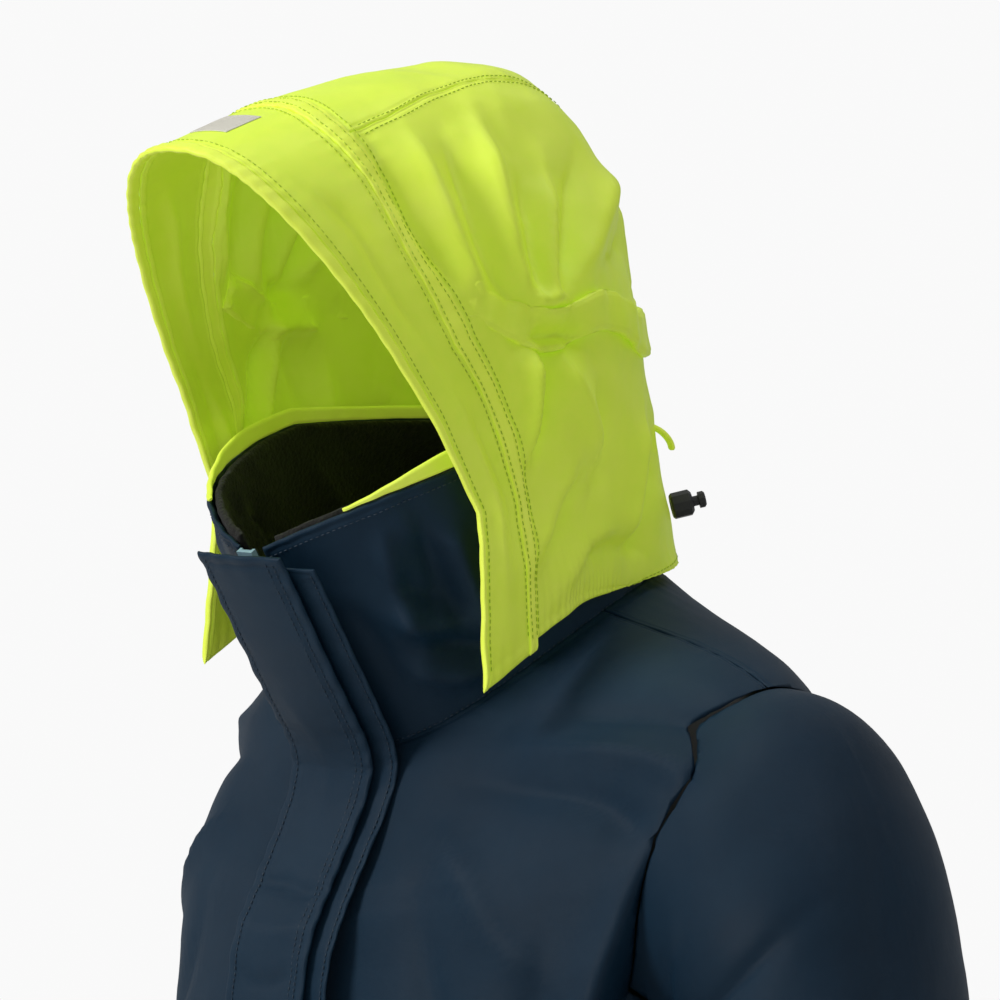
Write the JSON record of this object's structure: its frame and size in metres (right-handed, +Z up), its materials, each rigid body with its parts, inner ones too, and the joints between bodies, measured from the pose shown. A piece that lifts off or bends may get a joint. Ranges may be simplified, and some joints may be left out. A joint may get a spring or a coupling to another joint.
{
  "type": "foul weather jacket",
  "caption": "Hooded sailing jacket with a high collar, double storm flap over a moulded zip, fluorescent hood, patch pockets and tab cuffs.",
  "frame": {"origin": "middle of the neck, level with the inner ends of the shoulder seams, where the wearer's shoulders carry the jacket", "axes": "+Z up, the wearer faces -Y, +X is the wearer's left"},
  "size_m": [0.6691, 0.3909, 1.0336],
  "materials": {
    "navy_shell": "matt coated navy polyester with a fine plain weave",
    "black_fleece": "short black fleece",
    "black_lining": "smooth black lining",
    "hook_loop": "hook and loop tape",
    "hi_vis": "fluorescent yellow-green coated polyester, soft satin",
    "reflective": "pale retroreflective patch",
    "zip_moulding": "moulded steel-blue plastic, satin",
    "lock_plastic": "dark grey moulded plastic"
  },
  "bodies": {
    "root": {"front_panel_left": "navy_shell", "front_panel_right": "navy_shell", "back_panel": "navy_shell", "hem_band": "navy_shell", "sleeve_left": "navy_shell", "sleeve_right": "navy_shell", "cuff_left": "navy_shell", "cuff_right": "navy_shell", "collar_left": "navy_shell", "collar_right": "navy_shell", "storm_flap_collar": "navy_shell", "inner_placket": "navy_shell", "pocket_left": "navy_shell", "pocket_right": "navy_shell", "zip_tape_left": "navy_shell", "zip_tape_right": "navy_shell", "hang_loop": "navy_shell", "collar_lining": "black_fleece", "body_lining": "black_lining", "inner_cuff_left": "black_lining", "inner_cuff_right": "black_lining", "flap_loop_1": "hook_loop", "flap_loop_2": "hook_loop", "flap_loop_3": "hook_loop", "collar_edge": "hi_vis", "zip_teeth_left": "zip_moulding", "zip_teeth_right": "zip_moulding", "zip_bottom_box": "zip_moulding"},
    "hood": {"hood_binding": "hi_vis", "hood_brim": "hi_vis", "hood_channel": "hi_vis", "hood_crown": "hi_vis", "hood_side_left": "hi_vis", "hood_side_right": "hi_vis", "hood_rear_casing": "hi_vis", "hood_pull_tab": "hi_vis", "hood_patch": "reflective", "hood_lock_left": "lock_plastic", "hood_lock_right": "lock_plastic"},
    "hood_button_left": {"hood_lock_button_left": "lock_plastic"},
    "hood_button_right": {"hood_lock_button_right": "lock_plastic"},
    "storm_flap": {"storm_flap_chest": "navy_shell", "flap_hook_1": "hook_loop", "flap_hook_2": "hook_loop", "flap_hook_3": "hook_loop"},
    "slider": {"zip_slider": "zip_moulding", "zip_puller": "zip_moulding"},
    "pocket_flap_left": {"pocket_flap_left": "navy_shell"},
    "pocket_flap_right": {"pocket_flap_right": "navy_shell"},
    "cuff_tab_left": {"cuff_tab_left": "navy_shell"},
    "cuff_tab_right": {"cuff_tab_right": "navy_shell"}
  },
  "joints": [
    {"name": "hood_fold", "type": "hinge", "parent": "root", "child": "hood", "pos_m": [0, 0.098, 0.049], "axis": [-1, 0, 0], "range_deg": [0, 75]},
    {"name": "hood_lock_press_left", "type": "slide", "parent": "hood", "child": "hood_button_left", "axis": [-0.6392, -0.7338, -0.2302], "range_m": [0, 0.003], "stiffness_N_per_m": 300},
    {"name": "hood_lock_press_right", "type": "slide", "parent": "hood", "child": "hood_button_right", "axis": [0.6392, -0.7338, -0.2302], "range_m": [0, 0.003], "stiffness_N_per_m": 300},
    {"name": "storm_flap_open", "type": "hinge", "parent": "root", "child": "storm_flap", "pos_m": [-0.0265, -0.156, -0.45], "axis": [0, 0, -1], "range_deg": [0, 110]},
    {"name": "zip_run", "type": "slide", "parent": "root", "child": "slider", "axis": [0, 0.5295, -0.8483], "range_m": [0, 0.05]},
    {"name": "pocket_flap_lift_left", "type": "hinge", "parent": "root", "child": "pocket_flap_left", "pos_m": [0.0911, -0.1415, -0.383], "axis": [-0.955, -0.2965, 0], "range_deg": [0, 95]},
    {"name": "pocket_flap_lift_right", "type": "hinge", "parent": "root", "child": "pocket_flap_right", "pos_m": [-0.0916, -0.1395, -0.383], "axis": [-0.8579, 0.5129, -0.03], "range_deg": [0, 95]},
    {"name": "cuff_tab_open_left", "type": "hinge", "parent": "root", "child": "cuff_tab_left", "pos_m": [0.3365, -0.0565, -0.647], "axis": [-0.02, 0.161, 0.9868], "range_deg": [0, 95]},
    {"name": "cuff_tab_open_right", "type": "hinge", "parent": "root", "child": "cuff_tab_right", "pos_m": [-0.3272, -0.0127, -0.647], "axis": [-0.0333, -0.2194, -0.9751], "range_deg": [0, 95]}
  ]
}
